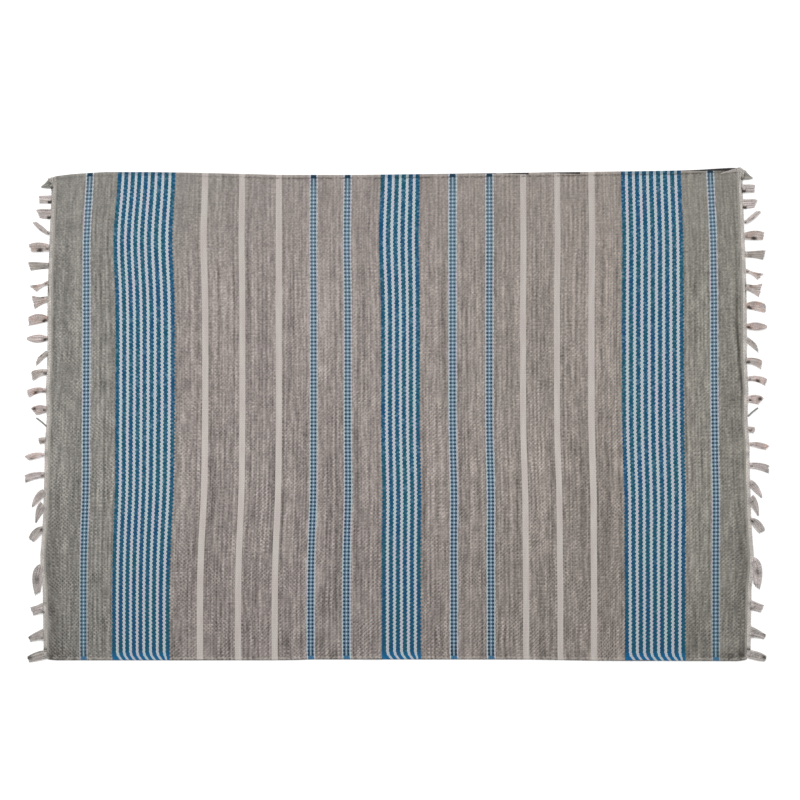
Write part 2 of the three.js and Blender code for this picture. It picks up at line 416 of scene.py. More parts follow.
def edge_lift(along, across):
    """Height of the cloth's underside: long low swells, and a curl at some edges, in millimetres.

    The swells are products of two sine waves that differ in length. A curl falls off from the
    edge as a bell curve, and rises along the edge as a half sine that sinks faster than it rose.
    """
    long_wave = 1 + np.sin(along / 190 + across / 620 + 0.6)
    long_cross_wave = 1 + np.sin(across / 230 - along / 900 + 1.1)
    short_wave = 1 + np.sin(along / 71 - across / 160)
    short_cross_wave = 1 + np.sin(across / 97 + along / 240)
    lift = 0.9 * long_wave * long_cross_wave / 4 + 0.5 * short_wave * short_cross_wave / 4
    for edge, start, stop, rise, reach, _ in CURLS:
        selvedge = read(FAR_SELVEDGE if edge == "far" else NEAR_SELVEDGE, along)
        inward = np.abs(across - selvedge)
        share = np.clip((along - start) / (stop - start), 0, 1) ** 1.7
        lift = lift + rise * np.sin(np.pi * share) * np.exp(-(inward / reach) ** 2)
    return lift


def cloth_grid(picks, ribs):
    """Places along and across the rug of every crossing of the given pick and rib lines."""
    pick, rib = np.meshgrid(picks, ribs)
    across = (rib / RIBS - 0.5) * RIBS * RIB_PITCH
    for _ in range(3):
        along = pick_line(pick, across)
        near = read(NEAR_SELVEDGE, along)
        across = near + (read(FAR_SELVEDGE, along) - near) * rib / RIBS
    return pick, rib, along, across


def cloth_surface(settings):
    """The whole cloth as one closed mesh.

    Top: height is the lift plus the thickness, less a valley beside each warp, which is the rib
    relief times one minus the sine of the place within the rib, and less a bell curve at both ends.
    Each selvedge is a cord: a flat parabola over its inner half, then a power curve down to its
    edge. Underside: the lift and a small gap to the floor. The end walls join five top points and
    two lower ones at each rib.
    """
    thickness = settings.thickness / MM
    relief = settings.rib_relief / MM
    cord_rise, cord_drop, cord_power = 0.7, 2.2, 2.2
    end_drop, end_reach = 1.9, 1.1
    floor_gap, selvedge_gap, selvedge_tuck = 0.02, 0.7, 0.5
    end_columns = np.array([-0.6, 0.2, 1.0, 2.0, 4.4])
    picks = np.concatenate([end_columns, np.linspace(10, PICKS - 10, 63), PICKS - end_columns[::-1]])
    rows_per_rib = 4
    top_ribs = np.linspace(0, RIBS, RIBS * rows_per_rib + 1)
    low_ribs = np.arange(RIBS + 1.0)
    columns = len(picks)

    pick, rib, along, across = cloth_grid(picks, top_ribs)
    lift = edge_lift(along, across)
    inward = np.minimum(rib, RIBS - rib) * RIB_PITCH
    in_cord = inward < SELVEDGE_CORD
    cord_share = np.clip(inward / SELVEDGE_CORD, 0, 1)
    valley = relief * (1 - np.abs(np.sin(np.pi * rib)))
    inner_half = cord_rise - 3 * (cord_share - 0.5) ** 2
    outer_half = cord_rise - cord_drop * np.clip(1 - 2 * cord_share, 0, 1) ** cord_power
    cord = np.where(cord_share < 0.5, outer_half, inner_half)
    from_end = np.minimum(pick, PICKS - pick) + 0.6
    end_dip = end_drop * np.exp(-(from_end / end_reach) ** 2)
    top = lift + thickness + np.where(in_cord, cord, -valley) - end_dip
    top_points = np.stack([along, across, top], -1).reshape(-1, 3)

    _, low_rib, low_along, low_across = cloth_grid(picks, low_ribs)
    low_lift = edge_lift(low_along, low_across)
    at_selvedge = (low_rib == 0) | (low_rib == RIBS)
    low = low_lift + np.where(at_selvedge, selvedge_gap, floor_gap)
    low_across = low_across + selvedge_tuck * ((low_rib == 0) * 1.0 - (low_rib == RIBS))
    low_points = np.stack([low_along, low_across, low], -1).reshape(-1, 3)

    top_rows = len(top_ribs)
    first_low = top_rows * columns
    top_faces = grid_faces(top_rows, columns)
    low_faces = grid_faces(RIBS + 1, columns, first_low, flip=True)
    column = np.arange(columns - 1)
    near_wall = np.stack([column + 1, column, first_low + column, first_low + column + 1], 1)
    top_far = (top_rows - 1) * columns + column
    low_far = first_low + RIBS * columns + column
    far_wall = np.stack([top_far, top_far + 1, low_far + 1, low_far], 1)
    step = np.arange(RIBS)
    stitch = np.arange(rows_per_rib + 1)
    top_side = (step[:, None] * rows_per_rib + stitch) * columns
    low_side = first_low + step[:, None] * columns
    left_wall = np.concatenate([low_side, top_side, low_side + columns], 1)
    right_wall = np.concatenate([low_side + columns, top_side[:, ::-1], low_side], 1) + columns - 1

    points = np.concatenate([top_points, low_points])
    faces = [top_faces, low_faces, near_wall, far_wall, left_wall, right_wall]
    weave = np.concatenate([
        np.stack([pick, rib], -1).reshape(-1, 2),
        np.stack(np.meshgrid(picks, low_ribs), -1).reshape(-1, 2),
    ])
    spread = points[:, :2]
    plan = (spread - spread.min(0)) / (spread.max(0) - spread.min(0))
    corners = np.concatenate([group.ravel() for group in faces])
    points = points + (0, floor_shift(), 0)
    maps = [("weave", weave[corners]), ("OFBake", plan[corners])]
    return build_mesh("kilim_cloth", points, faces, maps)


# ------------------------------------------------------------------ the cloth's wool

# Shades and casts are gains: what a place keeps of its red, green and blue.
GAP_SHADE = (0.25, 0.24, 0.24, 1.0)
GROOVE_SHADE = (0.33, 0.31, 0.29, 1.0)
STITCH_SHADE = (0.34, 0.32, 0.31, 1.0)
TURN_SHADE = (0.4, 0.5, 0.55, 1.0)
BLACK = (0.0, 0.0, 0.0, 1.0)
WHITE_CASTS = (0.92, 1.02, 0.96, 1.0), (1.02, 0.93, 0.985, 1.0)
GROUND_CASTS = (0.93, 0.99, 0.965, 1.0), (1.02, 0.99, 0.985, 1.0)
YELLOW_CAST = (1.0, 1.0, 0.965, 1.0)
PLY_SHADE = (0.4, 0.36, 0.33, 1.0)
RUST_CAST = (0.99, 0.84, 0.76, 1.0)
GREEN_TINGE = (0.95, 1.0, 0.955, 1.0)


def shade_of(colour, factor):
    """A linear colour made lighter or darker, with a full alpha."""
    return (*[min(1.0, c * factor) for c in colour[:3]], 1.0)


def layered(tree, colour, *layers):
    """A colour with layers over it, each given by its share, its colour and at times its blend."""
    for share, over, *blend in layers:
        colour = add(tree, "Mix", inputs={0: share, 6: colour, 7: over}, output=2,
                     data_type="RGBA", blend_type=blend[0] if blend else "MIX")
    return colour


def distance(tree, place, middle):
    """How far a place lies from a middle, on either side."""
    off = add(tree, "Math", place, middle, operation="SUBTRACT")
    return add(tree, "Math", off, operation="ABSOLUTE")


def patchy(tree, spot, size, *spread, detail=1.0):
    """Patches of a size in millimetres: noise, spread from one range of values to another."""
    noise = add(tree, "TexNoise", inputs={"Vector": spot, "Scale": 1 / (size * MM), "Detail": detail})
    return add(tree, "MapRange", noise, *spread)


def stripe_mask(tree, place, stripes, slack):
    """One where the place lies in any of the stripes, each given as its first pick and its picks."""
    total = 0.0
    for first, count in stripes:
        reach = (count - 1) / 2
        inside = add(tree, "Math", place, first + reach, reach + slack, operation="COMPARE")
        total = add(tree, "Math", total, inside, operation="ADD")
    return total


def selvedge_hook(tree, pick, rib):
    """Picks by which the lines swing along the rug in the last 25 mm before the near selvedge.

    It grows as a power of the share of that stretch, and is strong inside the blue bands, where it
    fades out at both flanks so that the band keeps its outline.
    """
    last = add(tree, "MapRange", rib, 0.0, 25 / RIB_PITCH, 1.0, 0.0)
    grown = add(tree, "Math", last, 2.4, operation="POWER")
    flanks = 0.0
    for first, count in BANDS:
        flank = add(tree, "MapRange", pick, first, first + 6.4)
        flank = add(tree, "MapRange", pick, first + count - 8, first + count, flank, 0.0)
        flanks = add(tree, "Math", flanks, flank, operation="ADD")
    strength = add(tree, "Math", flanks, 5.2, 0.6, operation="MULTIPLY_ADD")
    return add(tree, "Math", grown, strength, operation="MULTIPLY")


def float_at(tree, place, parity, size):
    """The number of the float at a place, and the place within that float from -1 to 1.

    Floats are two yarns wide and each yarn is as many picks as the size says. On every other rib
    they lie one yarn further on.
    """
    yarns = add(tree, "Math", place, 1 / size, operation="MULTIPLY")
    centred = add(tree, "Math", yarns, parity, operation="SUBTRACT")
    paired = add(tree, "Math", centred, 0.5, 0.25, operation="MULTIPLY_ADD")
    pair = add(tree, "Math", paired, operation="FLOOR")
    number = add(tree, "Math", pair, 2.0, parity, operation="MULTIPLY_ADD")
    offset = add(tree, "Math", yarns, number, operation="SUBTRACT")
    return number, add(tree, "Math", offset, 0.5, operation="SUBTRACT")


def yarn_noise(tree, number, rib, pick_scale, rib_scale, seed, detail=2.0):
    """Noise that changes from pick to pick and slowly along each pick's yarn.

    The scales are spots per pick and per rib, so that pitch over scale is their size in millimetres.
    """
    across = add(tree, "Math", number, pick_scale, seed, operation="MULTIPLY_ADD")
    along = add(tree, "Math", rib, rib_scale, seed / 3, operation="MULTIPLY_ADD")
    place = add(tree, "CombineXYZ", across, along)
    return add(tree, "TexNoise", inputs={"Vector": place, "Scale": 1.0, "Detail": detail},
               noise_dimensions="2D")


def woven_floats(tree, spot):
    """Coordinates of the weft float that shows at each point.

    Over each rib every other yarn shows, and which ones turns about from rib to rib. The dyed
    stripes have fine yarn, of one pick, and the ground has coarse yarn. Floats lean a little.
    Returns the pick and rib, the rug's pick place with the thick yarns allowed for, the turn of the
    rib (0 or 1), the place across the float from -1 to 1, and for the fine and the coarse floats
    their number and the place along them from -1 to 1.
    """
    weave = add(tree, "UVMap", uv_map="weave")
    pick, rib = (add(tree, "SeparateXYZ", weave, output=axis) for axis in (0, 1))
    swung = add(tree, "Math", pick, selvedge_hook(tree, pick, rib), operation="SUBTRACT")

    # Blue picks are thicker than white ones, so the lines between them are moved apart.
    turn = add(tree, "Math", swung, math.pi / 4, operation="MULTIPLY")
    wave = add(tree, "Math", turn, operation="COSINE")
    even_bands = stripe_mask(tree, swung, BANDS[:2], 0.5)
    odd_band = stripe_mask(tree, swung, BANDS[2:], 0.5)
    side = add(tree, "Math", even_bands, odd_band, operation="SUBTRACT")
    widen = add(tree, "Math", wave, side, operation="MULTIPLY")
    place = add(tree, "Math", widen, 0.45, swung, operation="MULTIPLY_ADD")

    rib_number = add(tree, "Math", rib, operation="FLOOR")
    rib_share = add(tree, "Math", rib, operation="FRACT")
    across = add(tree, "Math", rib_share, 2.0, -1.0, operation="MULTIPLY_ADD")
    parity = add(tree, "Math", rib_number, 2.0, operation="FLOORED_MODULO")

    # Close to both selvedges the picks are packed less hard and their edges run straight.
    calm = 0.0
    for start, stop, most in ((RIBS - 110, RIBS - 10, 0.3), (RIBS - 9, RIBS - 3, 0.5), (12, 4, 0.7)):
        calmer = add(tree, "MapRange", rib, start, stop, 0.0, most)
        calm = add(tree, "Math", calm, calmer, operation="ADD")
    half_turn = add(tree, "Math", parity, 0.5, operation="SUBTRACT")
    packed = add(tree, "Math", half_turn, calm, place, operation="MULTIPLY_ADD")
    lean = add(tree, "MapRange", pick, 100.0, 190.0, -0.22, 0.2)
    lean = add(tree, "Math", across, lean, operation="MULTIPLY")
    leaning = add(tree, "Math", packed, lean, operation="SUBTRACT")
    number, along = float_at(tree, leaning, parity, 1.0)

    # The coarse floats lean more, in ways that change over a hand's breadth and from yarn to yarn.
    lean = add(tree, "MapRange", pick, 60.0, 340.0, -1.05, -0.6)
    sway = patchy(tree, spot, 90.91, 0.0, 1.0, 0.0, 1.9)
    lean = add(tree, "Math", sway, lean, operation="ADD")
    lean = add(tree, "Math", across, lean, operation="MULTIPLY")
    jitter = yarn_noise(tree, place, rib, 0.17, 0.37, 59.0, 0.0)
    leaning = add(tree, "Math", swung, lean, operation="SUBTRACT")
    leaning = add(tree, "Math", jitter, 2.2, leaning, operation="MULTIPLY_ADD")
    coarse = float_at(tree, leaning, parity, COARSE_YARN)
    return pick, rib, place, parity, across, number, along, *coarse


def wool_material(settings):
    """Handspun wool weft, packed so close that it hides the warps.

    The eye sees dry matt yarn, marled grey in the ground and unevenly dyed in the stripes, in
    rows of short floats with painted shade in the gaps between them.
    """
    material, tree = new_material("handspun_wool_weft")
    spot = add(tree, "TexCoord", output=3)
    x, y = (add(tree, "SeparateXYZ", spot, output=axis) for axis in (0, 1))
    floats = woven_floats(tree, spot)
    pick, rib, place, parity, across, number, along, coarse_number, coarse_along = floats
    ground = ground_colour(tree, settings, coarse_number, place, rib, x, y, spot)
    dye_share, blue, white, ecru = dyed_yarns(tree, settings, number, rib, spot)

    # Bands: blue on the first four picks of every eight. The third band starts four picks late.
    bands = stripe_mask(tree, number, BANDS, 0.25)
    late_band = stripe_mask(tree, number, BANDS[2:], 0.25)
    stepped = add(tree, "Math", late_band, 4.0, number, operation="MULTIPLY_ADD")
    in_eight = add(tree, "Math", stepped, 8.0, operation="FLOORED_MODULO")
    is_white = add(tree, "Math", in_eight, 3.5, operation="GREATER_THAN")
    band_colour = layered(tree, blue, (is_white, white))
    frayed, check_colour = check_stripes(tree, settings, place, rib, parity, dye_share, white, blue)
    ecru_mask = stripe_mask(tree, place, [(first + 0.4, ECRU_PICKS) for first in ECRU_STRIPES], 0.5)
    in_check = add(tree, "Math", frayed, CHECK_PICKS / 2 + 0.5, operation="LESS_THAN")
    colour = layered(tree, ground, (ecru_mask, ecru), (bands, band_colour), (in_check, check_colour))
    striped = add(tree, "Math", bands, ecru_mask, operation="MAXIMUM")
    striped = add(tree, "Math", striped, in_check, operation="MAXIMUM")
    along = add(tree, "Mix", inputs={0: striped, 2: coarse_along, 3: along})

    # Each float is an arch over its warp, round across the yarn, with its plies wound round it.
    along_square = add(tree, "Math", along, along, operation="MULTIPLY")
    across_square = add(tree, "Math", across, across, operation="MULTIPLY")
    round_yarn = add(tree, "Math", along_square, -0.8, 1.0, operation="MULTIPLY_ADD")
    arch = add(tree, "Math", across_square, -0.5, 1.0, operation="MULTIPLY_ADD")
    body = add(tree, "Math", round_yarn, arch, operation="MULTIPLY")
    wound = add(tree, "Math", across, 7.0, operation="MULTIPLY")
    wound = add(tree, "Math", along, 4.0, wound, operation="MULTIPLY_ADD")
    plies = add(tree, "Math", wound, operation="SINE")
    height = add(tree, "Math", plies, 0.07, body, operation="MULTIPLY_ADD")
    hairs = patchy(tree, spot, 1.111, 0.0, 1.0, 0.0, 0.25, detail=3.0)
    height = add(tree, "Math", hairs, height, operation="ADD")

    # Painted shade: gaps between floats are dark in the coarse grey wool and faint in the smooth pale
    # yarns.
    smooth_yarn = add(tree, "Math", ecru_mask, -0.75, 1.0, operation="MULTIPLY_ADD")
    smooth_yarn = add(tree, "Math", bands, -0.45, smooth_yarn, operation="MULTIPLY_ADD")
    hollow = add(tree, "Math", across_square, -0.12, round_yarn, operation="MULTIPLY_ADD")
    gap = add(tree, "MapRange", hollow, 0.0, 0.9, 0.75, 0.0)
    fine_gap = add(tree, "Math", gap, smooth_yarn, operation="MULTIPLY")

    # The coarse floats stand out in patches, and less and less towards the far side.
    stand_out = add(tree, "MapRange", rib, 0.0, RIBS, 1.08, 0.12)
    patches = patchy(tree, spot, 62.5, 0.38, 0.62, 0.45, 1.5)
    right_end = add(tree, "MapRange", pick, 640.0, 730.0, 1.0, 0.85)
    left_end = add(tree, "MapRange", pick, 72.0, 40.0, 1.0, 1.3)
    for strength in (patches, right_end, left_end):
        stand_out = add(tree, "Math", stand_out, strength, operation="MULTIPLY")
    mean_gap = 0.19
    off_mean = add(tree, "Math", gap, mean_gap, operation="SUBTRACT")
    coarse_gap = add(tree, "Math", off_mean, stand_out, mean_gap,
                     operation="MULTIPLY_ADD", use_clamp=True)
    gap = add(tree, "Mix", inputs={0: striped, 2: coarse_gap, 3: fine_gap})

    # Painted shade: darker towards the near side, where the light falls off.
    painted_near_shade = add(tree, "MapRange", y, -0.15, -0.6, 0.0, 0.09)
    colour = layered(tree, colour, (gap, GAP_SHADE, "MULTIPLY"), (painted_near_shade, BLACK))
    colour = end_fade_and_shade(tree, colour, pick, x, y, spot)
    dyed = add(tree, "Math", bands, in_check, operation="MAXIMUM")
    colour = selvedge_soil_and_light(tree, colour, rib, x, spot, bands, dyed)
    bump = add(tree, "Bump", inputs={"Strength": 0.7, "Distance": 0.7 * MM, "Height": height})
    surface = add(tree, "BsdfPrincipled", inputs={
        "Base Color": colour, "Roughness": 0.92, "Specular IOR Level": 0.2, "Sheen Weight": 0.04,
        "Sheen Roughness": 0.6, "Normal": bump})
    add(tree, "OutputMaterial", surface)
    return material


def dyed_yarns(tree, settings, number, rib, spot):
    """The share of navy in the blue dye, and the colours of the blue, white and ecru yarns."""
    # Blue: an uneven dye bath, from teal to navy along each yarn, with paler worn spots.
    dye = yarn_noise(tree, number, rib, 0.23, 0.03, 47.0)
    dye_share = add(tree, "MapRange", dye, 0.38, 0.62)
    most_worn = add(tree, "MapRange", rib, 0.0, RIBS * 0.45, 0.2, 1.1)
    worn = yarn_noise(tree, number, rib, 0.77, 0.31, 71.0, 1.0)
    worn = add(tree, "MapRange", worn, 0.48, 1.0, 0.0, most_worn)
    at_edge = add(tree, "MapRange", rib, 5.5, 1.5, 0.0, 0.75)
    blue = layered(
        tree, linear("#10545c"), (dye_share, linear("#104474")), (0.5, (*settings.blue, 1.0)),
        (worn, linear("#688ea3")), (at_edge, linear("#14679a")))

    # White: bleached yarn that took a breath of pink or green from its neighbours.
    breath = yarn_noise(tree, number, rib, 0.31, 0.05, 83.0)
    breath = add(tree, "MapRange", breath, 0.38, 0.62)
    cast = layered(tree, WHITE_CASTS[0], (breath, WHITE_CASTS[1]))
    white = layered(tree, (*settings.white, 1.0), (1.0, cast, "MULTIPLY"))

    # Ecru: mottled yarn with less of that breath, dimmer towards the far side.
    ecru = layered(tree, shade_of(settings.ecru, 1.04), (breath, shade_of(settings.ecru, 0.95)))
    mottle = patchy(tree, spot, 4.762, 0.0, 1.0, 0.0, 0.15)
    dimmer = add(tree, "MapRange", rib, RIBS * 0.4, RIBS - 20, 0.99, 0.885)
    dimmer = add(tree, "Math", mottle, dimmer, operation="ADD")
    ecru_cast = layered(tree, ecru, (1.0, cast, "MULTIPLY"))
    return dye_share, blue, white, layered(tree, ecru, (0.35, ecru_cast), (1.0, dimmer, "MULTIPLY"))


def check_stripes(tree, settings, place, rib, parity, dye_share, white, blue):
    """Distance in picks from the nearest check's middle line, and the colour of the checks.

    From that line outwards come a pale blue column, a dotted one that is navy on every other rib,
    and a white one that is thin beside the dots. Towards both selvedges the dots run together. At
    the far one the inner picks turn back dark, and at the near one in a worn blue.
    """
    scallop = add(tree, "Math", parity, 0.3, -0.15, operation="MULTIPLY_ADD")
    ring = PICKS
    for first in CHECKS:
        away = distance(tree, place, first + CHECK_PICKS / 2)
        ring = add(tree, "Math", away, ring, operation="MINIMUM")
    ripple = add(tree, "Math", ring, scallop, operation="ADD")
    in_white = add(tree, "Math", ripple, 3.15, operation="GREATER_THAN")
    in_heart = add(tree, "Math", ripple, 0.95, operation="LESS_THAN")

    # Navy dots, faded in spots. In the outer checks they are greener towards the near side.
    uneven = yarn_noise(tree, place, rib, 0.11, 0.45, 97.0, 1.0)
    far_run = add(tree, "MapRange", rib, RIBS - 12, RIBS - 4, 0.0, 0.8)
    near_run = add(tree, "MapRange", rib, 9.0, 3.0, 0.0, 0.8)
    run = add(tree, "Math", far_run, near_run, operation="ADD")
    faded = add(tree, "MapRange", rib, 30.0, RIBS - 20, -0.25, 0.35)
    faded = add(tree, "Math", uneven, 0.9, faded, operation="MULTIPLY_ADD")
    faded = add(tree, "MapRange", faded, 0.35, 1.0, 0.0, 0.8)
    from_end = add(tree, "Math", place, PICKS / 2, operation="PINGPONG")
    outer = add(tree, "MapRange", from_end, 90.0, 60.0)
    dim = add(tree, "MapRange", rib, RIBS * 0.5, 0.0, 0.0, outer)
    greener = add(tree, "Math", dim, 0.75, operation="MULTIPLY")
    navy = layered(
        tree, (*settings.navy, 1.0), (dye_share, linear("#1d3b52")), (faded, linear("#566c7a")),
        (greener, linear("#28575f")))
    near_share = add(tree, "MapRange", rib, 20.0, RIBS * 0.7, 0.5, 0.0)
    between = layered(tree, linear("#778c9b"), (near_share, linear("#446a86")), (run, navy))
    dots = layered(tree, navy, (parity, between))
    heart = layered(tree, linear("#5f7c90"), (parity, linear("#a8bbc9")), (run, linear("#869cab")))

    # The white flanks are hidden in places, most of all beside the dots.
    hidden = add(tree, "MapRange", parity, 0.0, 1.0, 0.25, -0.15)
    hidden = add(tree, "Math", near_share, -0.4, hidden, operation="MULTIPLY_ADD")
    hidden = add(tree, "Math", uneven, 0.8, hidden, operation="MULTIPLY_ADD")
    hidden = add(tree, "MapRange", hidden, 0.2, 0.9, 0.0, 0.8)
    hidden = add(tree, "Math", dim, 0.45, hidden, operation="MULTIPLY_ADD", use_clamp=True)
    flank = layered(tree, white, (hidden, linear("#85868a")))

    inner = add(tree, "Math", 1.0, in_white, operation="SUBTRACT")
    head = add(tree, "Math", rib, RIBS - 1.8, operation="GREATER_THAN")
    head = add(tree, "Math", head, inner, operation="MULTIPLY")
    foot = add(tree, "Math", rib, 2.0, operation="LESS_THAN")
    foot = add(tree, "Math", foot, inner, operation="MULTIPLY")
    worn_blue = layered(tree, blue, (0.3, linear("#7290a0")))
    frayed = add(tree, "Math", uneven, 1.4, ring, operation="MULTIPLY_ADD")
    return frayed, layered(
        tree, dots, (in_white, flank), (in_heart, heart), (head, linear("#18384c")), (foot, worn_blue))


def ground_colour(tree, settings, number, place, rib, x, y, spot):
    """Undyed grey wool, toned by the yarn lot, by each pick and by the marl of the spinning.

    The tone is a weighted sum of noises: the lot and the streak run far along a pick, the slub
    changes every few ribs, the tick and the marl change from float to float, and the nap is a fine
    mottle of the whole face. A slow drift turns the grey from slightly green and dark at the ends
    of the rug to slightly pink and light in its middle.
    """
    lot = yarn_noise(tree, place, rib, 0.06, 0.006, 3.0)
    streak = yarn_noise(tree, place, rib, 0.42, 0.01, 11.0, 0.0)
    slub = yarn_noise(tree, place, rib, 0.38, 0.12, 19.0, 0.0)
    tick = yarn_noise(tree, number, rib, 2.9, 0.07, 37.0, 0.0)
    marl = yarn_noise(tree, number, rib, 3.7, 0.83, 29.0, 1.0)
    sideways = add(tree, "Math", x, operation="ABSOLUTE")
    streak = add(tree, "Math", streak, 0.5, operation="SUBTRACT")
    streak_size = add(tree, "MapRange", sideways, 0.72, 0.8, 1.2, 0.55)
    coarse = -0.775
    for noise, size in ((lot, 0.6), (streak, streak_size), (slub, 0.95)):
        coarse = add(tree, "Math", noise, size, coarse, operation="MULTIPLY_ADD")

    # Worn smooth towards the far side, the cloth shows less and less of its marl there.
    fine = add(tree, "Math", tick, marl, operation="ADD")
    fine = add(tree, "Math", fine, 1.0, operation="SUBTRACT")
    worn_fine = add(tree, "MapRange", rib, RIBS, 40.0, 0.5, 0.75)
    fine = add(tree, "Math", fine, worn_fine, operation="MULTIPLY")
    nap = patchy(tree, spot, 5.263, 0.0, 1.0, -0.5, 0.5)
    nap_size = add(tree, "MapRange", rib, 0.0, RIBS, 1.0, 1.9)
    fine = add(tree, "Math", nap, nap_size, fine, operation="MULTIPLY_ADD")
    worn_far = add(tree, "MapRange", rib, RIBS, RIBS - 60, 0.65, 1.0)
    worn = add(tree, "MapRange", rib, RIBS, 0.0, 0.86, 1.05)
    worn = add(tree, "Math", worn, worn_far, operation="MULTIPLY")
    tone = add(tree, "Math", coarse, fine, operation="ADD")
    tone = add(tree, "Math", tone, worn, 0.505, operation="MULTIPLY_ADD")
    light = add(tree, "MapRange", tone, 0.5, 1.4)
    dark = add(tree, "MapRange", tone, 0.5, -0.4)

    drift = patchy(tree, spot, 476.2, 0.0, 1.0, 0.0, 0.6)
    pinkness = add(tree, "MapRange", sideways, 0.75, 0.5)
    pinkness = add(tree, "Math", drift, pinkness, operation="ADD")
    far_left = add(tree, "Math", y, x, operation="SUBTRACT")
    far_left = add(tree, "MapRange", far_left, 0.7, 1.05, 0.3, 0.75)
    pinkness = add(tree, "Math", pinkness, far_left, operation="SUBTRACT", use_clamp=True)
    yellowed = add(tree, "MapRange", x, -0.1, 0.55)
    cast = layered(
        tree, GROUND_CASTS[0], (pinkness, GROUND_CASTS[1]), (yellowed, YELLOW_CAST, "MULTIPLY"))
    worn_end = add(tree, "MapRange", sideways, 0.62, 0.88, 0.0, 0.14)
    # Painted shade: darker towards the near side, where the light falls off.
    painted_near_shade = add(tree, "MapRange", y, -0.15, -0.6, 0.0, 0.08)
    shade = add(tree, "Math", worn_end, painted_near_shade, operation="ADD")
    return layered(
        tree, (*settings.ground, 1.0), (light, shade_of(settings.ground, 1.75)),
        (dark, shade_of(settings.ground, 0.42)), (1.0, cast, "MULTIPLY"), (shade, BLACK))


def end_fade_and_shade(tree, colour, pick, x, y, spot):
    """The colour near both ends: picks fade into the pale headings, and painted shade lies inside them.

    A narrow groove of painted shade follows each heading. At the right end it is deepest a little
    beyond the middle, and starts there seven picks in. A wide soft painted shade lies along the near
    half of both ends.
    """
    from_end = add(tree, "Math", pick, PICKS / 2, operation="PINGPONG")
    at_right = add(tree, "Math", x, 0.0, operation="GREATER_THAN")
    further = add(tree, "MapRange", y, 0.05, 0.22, 0.0, 5.2)
    groove = add(tree, "Math", at_right, further, 2.0, operation="MULTIPLY_ADD")
    deeper = add(tree, "MapRange", distance(tree, y, 0.15), 0.17, 0.13, 0.0, 0.8)
    deeper = add(tree, "Math", deeper, at_right, operation="MULTIPLY")
    depth = patchy(tree, spot, 71.43, 0.42, 0.62, 0.05, 0.4)
    depth = add(tree, "Math", depth, deeper, operation="MAXIMUM")
    shade = add(tree, "MapRange", distance(tree, from_end, groove), 2.6, 0.5, 0.0, depth)
    reach = add(tree, "MapRange", at_right, 0.0, 1.0, 22.0, 15.0)
    wide = add(tree, "MapRange", y, -0.15, -0.28, 0.0, 0.23)
    wide = add(tree, "MapRange", from_end, reach, 7.0, 0.0, wide)
    shade = add(tree, "Math", shade, wide, operation="MAXIMUM")
    pale = add(tree, "MapRange", from_end, 2.8, 0.6, 0.0, 0.7)
    return layered(tree, colour, (shade, GROOVE_SHADE, "MULTIPLY"), (pale, linear("#a5a19b")))


def selvedge_soil_and_light(tree, colour, rib, x, spot, bands, dyed):
    """The colour along the selvedges: a corded line, painted highlights, dark heads of blue picks,
    painted curl shade.
    """
    # A cord runs along the far selvedge, with dark stitches on its inner side.
    from_far = add(tree, "Math", RIBS, rib, operation="SUBTRACT")
    stitches = patchy(tree, spot, 6.667, 0.38, 0.58, 0.05, 0.75)
    corded = add(tree, "MapRange", x, -0.5, -0.25, 0.3, 1.0)
    line = add(tree, "MapRange", distance(tree, from_far, 1.9), 0.6, 0.25, 0.0, stitches)
    line = add(tree, "Math", line, corded, operation="MULTIPLY")

    # Its crown catches the light. So do knots of the last rib before the near selvedge.
    crown = add(tree, "MapRange", from_far, 1.5, 0.9, 0.0, 0.22)
    crown = add(tree, "Math", crown, corded, operation="MULTIPLY")
    last_rib = add(tree, "Math", rib, 1.0, 0.5, operation="COMPARE")
    knots = add(tree, "Math", stitches, last_rib, operation="MULTIPLY")
    knots = add(tree, "Math", knots, 0.5, crown, operation="MULTIPLY_ADD")
    in_ground = add(tree, "Math", 1.0, dyed, operation="SUBTRACT")
    knots = add(tree, "Math", knots, in_ground, operation="MULTIPLY")

    # The near corners have gone dark in patches, where the knots of the last tassels lie.
    sideways = add(tree, "Math", x, operation="ABSOLUTE")
    corner = patchy(tree, spot, 13.333, 0.46, 0.56, 0.0, 0.75)
    corner = add(tree, "MapRange", sideways, 0.78, 0.85, 0.0, corner)
    corner = add(tree, "MapRange", rib, 7.0, 3.0, 0.0, corner)

    # In the bands the turns of the picks are darker than the rest.
    turns = add(tree, "MapRange", from_far, 2.2, 0.9, 0.0, 0.6)
    turns = add(tree, "Math", turns, bands, operation="MULTIPLY")
    colour = layered(
        tree, colour, (line, STITCH_SHADE, "MULTIPLY"), (knots, linear("#b9b2ab")),
        (corner, linear("#37332e")), (turns, TURN_SHADE, "MULTIPLY"))

    # Painted shade: where an edge curls, the outermost yarns turn up and are painted dark for the
    # shade under them, more and more along the curl.
    for edge, start, stop, _, _, depth in CURLS:
        inward = from_far if edge == "far" else rib
        share = add(tree, "MapRange", x, start * MM, stop * MM, 0.0, depth / RIB_PITCH)
        turned = add(tree, "Math", inward, share, operation="LESS_THAN")
        on_top = add(tree, "Math", inward, 0.05, operation="GREATER_THAN")
        before_end = add(tree, "Math", x, stop * MM, operation="LESS_THAN")
        for test in (on_top, before_end):
            turned = add(tree, "Math", turned, test, operation="MULTIPLY")
        colour = layered(tree, colour, (turned, linear("#2f2b2d")))
    return colour


# ------------------------------------------------------------------ headings

